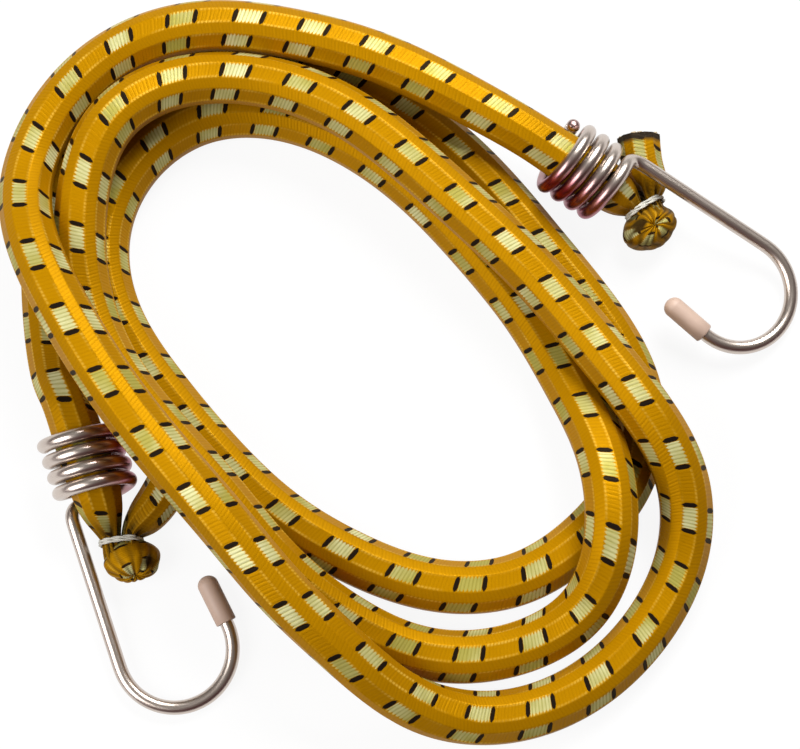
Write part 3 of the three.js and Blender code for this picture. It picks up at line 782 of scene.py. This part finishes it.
def hook_line():
    """Middle of the wire in the hook's frame, from its cut end to its tip, and the tip's direction."""
    turned = np.linspace(0, COIL_TURNS, round(COIL_TURNS * COIL_STEPS))
    angle = COIL_START + 2 * math.pi * turned
    coil_x = (turned - COIL_TURNS / 2) * COIL_PITCH
    coil = np.stack([coil_x, COIL_RADIUS * np.sin(angle), COIL_RADIUS * np.cos(angle)], 1)
    leaving = np.array((0, math.cos(angle[-1]), -math.sin(angle[-1])))
    bend_angle = np.linspace(0, math.pi / 2, 12)[1:, None]
    bend = coil[-1] + COIL_BEND * (np.sin(bend_angle) * leaving + (1 - np.cos(bend_angle)) * (1, 0, 0))
    start = bend[-1]
    shank = np.linspace(start, (J_REACH, start[1], start[2]), 40)[1:-1]
    sweep_angle = np.linspace(0, J_TURN, J_STEPS)
    j_x = J_REACH + J_RADIUS * np.sin(sweep_angle)
    j_y = start[1] - J_RADIUS + J_RADIUS * np.cos(sweep_angle)
    j = np.stack([j_x, j_y, np.full(J_STEPS, start[2])], 1)
    towards = np.array((math.cos(J_TURN), -math.sin(J_TURN), 0))
    tip = j[-1] + np.outer(np.linspace(0, TIP_LENGTH, 12)[1:], towards)
    line = np.vstack([coil, bend, shank, j, tip])
    steps = np.concatenate([[0], np.cumsum(np.linalg.norm(np.diff(line, axis=0), axis=1))])
    even = np.linspace(0, steps[-1], round(steps[-1] / WIRE_STEP))
    line = np.stack([np.interp(even, steps, line[:, k]) for k in range(3)], 1)
    for _ in range(SMOOTHINGS):
        line[1:-1] = (line[:-2] + 2 * line[1:-1] + line[2:]) / 4
    return line, towards


plating = Nodes("bright_plating")
length, turn = plating.weave()
drawn_place = plating.vector(plating.math("MULTIPLY", length, 60.0), plating.math("MULTIPLY", turn, 36.0))
drawn = plating.noise(drawn_place, 1.0, 3.0)
stain = plating.noise(plating.place(), 160.0, 3.0)
metal = plating.mix(stain, DULL_PLATING, BRIGHT_PLATING)
# Painted reflection and shade: dark red on the coil's side facing the pile and on the cut end.
red_reflection_and_shade = plating.add("ShaderNodeAttribute", attribute_name="red_reflection_and_shade").outputs["Fac"]
red_reflection_and_shade = plating.math("MULTIPLY", red_reflection_and_shade, plating.math("MULTIPLY_ADD", stain, 0.8, 0.5), clamp=True)
plating.join(plating.mix(red_reflection_and_shade, metal, RED_REFLECTION), plating.shader.inputs["Base Color"])
plating.join(plating.math("MULTIPLY_ADD", drawn, 0.16, 0.22), plating.shader.inputs["Roughness"])
plating.join(1.0, plating.shader.inputs["Metallic"])
plating.bump(drawn, 0.00001, 0.3)


def hook(letter, end):
    line, _ = hook_line()
    place = np.array(hook_frame(end) @ Matrix.Rotation(math.radians(end["roll"]), 4, "X"))
    line = line @ place[:3, :3].T + place[:3, 3]
    wire_lengths = WIRE_STEP * np.arange(len(line))
    rounding = np.linspace(0.12, 1, CUT_RINGS) * math.pi / 2
    cut_lengths = CUT_ROUNDNESS * WIRE_RADIUS * (1 - np.cos(rounding))
    steps = np.concatenate([cut_lengths, wire_lengths[2:]])
    line = np.stack([np.interp(steps, wire_lengths, column) for column in line.T], 1)
    radius = np.full(len(line), WIRE_RADIUS)
    radius[:CUT_RINGS] *= np.sin(rounding)
    piece = round_tube("wire_hook_" + letter, line, radius, WIRE_SIDES)
    points = np.array([vert.co[:] for vert in piece.data.vertices])
    along, across, _ = ((points - place[:3, 3]) @ place[:3, :3]).T
    # Painted red reflection on the coil's side facing the pile, and painted shade on the cut end.
    red_reflection_share = np.clip((-across - RED_REFLECTION_FROM) / RED_REFLECTION_RANGE, 0, 1) * (along < RED_REFLECTION_END)
    from_cut = np.linalg.norm(points - line[0], axis=1)
    red_reflection_share = np.maximum(red_reflection_share, 0.5 * np.clip(1.6 - from_cut / WIRE_RADIUS, 0, 1))
    depth = piece.data.attributes.new("red_reflection_and_shade", "FLOAT", "POINT")
    depth.data.foreach_set("value", red_reflection_share)
    piece.data.materials.append(plating.material)
    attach(piece, "hook_" + letter)
    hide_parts("hook_" + letter)


hook("a", END_A)
hook("b", END_B)

# Tip caps: a beige plastic cup on the tip of each wire, so that it can't scratch. Each is moulded with
# a domed end and is pushed on until the wire meets its end wall.
CAP_LENGTH = 0.0094
CAP_RADIUS = 0.00195
CAP_BORE = 0.0014
CAP_END_WALL = 0.0012
CAP_SLACK = 0.0002
CAP_SEAT = CAP_LENGTH - CAP_END_WALL - CAP_SLACK
CAP_SIDES = 40
CAP_SKIRT = 0.003
BORE_EDGE = 0.0001
RIM_INSET, RIM_EDGE = 0.00012, 0.00015
DOME_HEIGHT = CAP_RADIUS * 0.9
DOME_STEPS = 8
DEEP_BEIGE = (0.52, 0.37, 0.29, 1)
LIGHT_BEIGE = (0.62, 0.46, 0.37, 1)

beige = Nodes("beige_plastic")
mottle = beige.noise(beige.place(), 220.0, 3.0)
beige.join(beige.mix(mottle, DEEP_BEIGE, LIGHT_BEIGE), beige.shader.inputs["Base Color"])
beige.join(beige.math("MULTIPLY_ADD", mottle, 0.2, 0.42), beige.shader.inputs["Roughness"])
beige.bump(beige.noise(beige.place(), 1500.0, 3.0), 0.00004, 0.5)


def tip_cap(letter, end):
    line, towards = hook_line()
    bore_end = CAP_LENGTH - CAP_END_WALL
    profile = [(0, bore_end), (CAP_BORE, bore_end), (CAP_BORE, BORE_EDGE), (CAP_BORE + BORE_EDGE, 0)]
    profile += [(CAP_RADIUS - RIM_INSET, 0), (CAP_RADIUS, RIM_EDGE), (CAP_RADIUS, CAP_SKIRT)]
    for k in range(DOME_STEPS):
        angle = k / DOME_STEPS * math.pi / 2
        height = CAP_LENGTH - DOME_HEIGHT + DOME_HEIGHT * math.sin(angle)
        profile.append((CAP_RADIUS * math.cos(angle), height))
    profile.append((0, CAP_LENGTH))
    bm = bmesh.new()
    verts = [bm.verts.new((r, 0, z)) for r, z in profile]
    edges = [bm.edges.new(pair) for pair in zip(verts, verts[1:])]
    bmesh.ops.spin(
        bm, geom=verts + edges, cent=(0, 0, 0), axis=(0, 0, 1), angle=2 * math.pi, steps=CAP_SIDES,
        use_merge=True,
    )
    bmesh.ops.remove_doubles(bm, verts=bm.verts, dist=MERGE_DISTANCE)
    bmesh.ops.recalc_face_normals(bm, faces=bm.faces)
    for face in bm.faces:
        face.smooth = True
    place = hook_frame(end) @ Matrix.Rotation(math.radians(end["roll"]), 4, "X")
    aim = Vector(towards).to_track_quat("Z", "Y").to_matrix().to_4x4()
    mouth = Vector(line[-1]) - CAP_SEAT * Vector(towards)
    bmesh.ops.transform(bm, matrix=place @ Matrix.Translation(mouth) @ aim, verts=bm.verts)
    mesh = bpy.data.meshes.new("hook_cap_" + letter)
    bm.to_mesh(mesh)
    bm.free()
    mesh.materials.append(beige.material)
    piece = bpy.data.objects.new(mesh.name, mesh)
    scene.collection.objects.link(piece)
    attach(piece, "hook_" + letter)
    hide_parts("tip_cap_" + letter)


tip_cap("a", END_A)
tip_cap("b", END_B)

# Stage: a white table top that the cord lies on, under a soft lamp at the far right and a weaker one
# at the near left. The room is dim and reddish in front, which the wire mirrors.
TABLE_SIZE = 12
floor_mesh = bpy.data.meshes.new("table_top")
bm = bmesh.new()
bmesh.ops.create_grid(bm, x_segments=1, y_segments=1, size=TABLE_SIZE)
bm.to_mesh(floor_mesh)
bm.free()
floor = bpy.data.objects.new("table_top", floor_mesh)
scene.collection.objects.link(floor)
WHITE = (0.95, 0.95, 0.95, 1)
BOUNCE = (0.20, 0.17, 0.12, 1)
LIFT = 0.91
table_white = Nodes("table_white")
rays = table_white.add("ShaderNodeLightPath")
seen = table_white.math("MAXIMUM", rays.outputs["Is Camera Ray"], rays.outputs["Is Glossy Ray"])
seen = table_white.math("MAXIMUM", seen, rays.outputs["Is Transmission Ray"])
table_white.join(table_white.mix(seen, BOUNCE, WHITE), table_white.shader.inputs["Base Color"])
table_white.join(0.9, table_white.shader.inputs["Roughness"])
table_white.join(0.0, table_white.shader.inputs["Specular IOR Level"])
paper = table_white.add("ShaderNodeEmission")
lifted = table_white.add("ShaderNodeMixShader")
table_white.join(table_white.math("MULTIPLY", seen, LIFT), lifted.inputs[0])
table_white.join(table_white.shader.outputs[0], lifted.inputs[1])
table_white.join(paper.outputs[0], lifted.inputs[2])
table_white.join(lifted.outputs[0], table_white.tree.nodes["Material Output"].inputs["Surface"])
floor_mesh.materials.append(table_white.material)

DIM_ROOM = (0.08, 0.028, 0.03, 1)
BRIGHT_ROOM = (0.22, 0.21, 0.195, 1)
BRIGHT_FALLS = (0.0, -0.62, -0.78)
BRIGHT_FROM, BRIGHT_FULL = -0.15, 0.9
world = bpy.data.worlds.new("soft_room")
world.use_nodes = True
sky = world.node_tree
look = sky.nodes.new("ShaderNodeNewGeometry")
facing = sky.nodes.new("ShaderNodeVectorMath")
facing.operation = "DOT_PRODUCT"
facing.inputs[1].default_value = BRIGHT_FALLS
sky.links.new(look.outputs["Incoming"], facing.inputs[0])
height = sky.nodes.new("ShaderNodeMapRange")
height.interpolation_type = "SMOOTHSTEP"
height.inputs["From Min"].default_value = BRIGHT_FROM
height.inputs["From Max"].default_value = BRIGHT_FULL
sky.links.new(facing.outputs["Value"], height.inputs["Value"])
shade = sky.nodes.new("ShaderNodeMix")
shade.data_type = "RGBA"
shade.inputs["A"].default_value = DIM_ROOM
shade.inputs["B"].default_value = BRIGHT_ROOM
sky.links.new(height.outputs["Result"], shade.inputs["Factor"])
sky.links.new(shade.outputs["Result"], sky.nodes["Background"].inputs["Color"])
scene.world = world


def area_light(name, place, size, power):
    data = bpy.data.lights.new(name, "AREA")
    data.size = size
    data.energy = power
    light = bpy.data.objects.new(name, data)
    light.location = place
    light.rotation_euler = (-Vector(place)).to_track_quat("-Z", "Y").to_euler()
    scene.collection.objects.link(light)


area_light("key_light", place=(0.16, 0.42, 0.48), size=0.32, power=5.4)
area_light("left_fill", place=(-0.44, -0.22, 0.46), size=0.45, power=3.7)
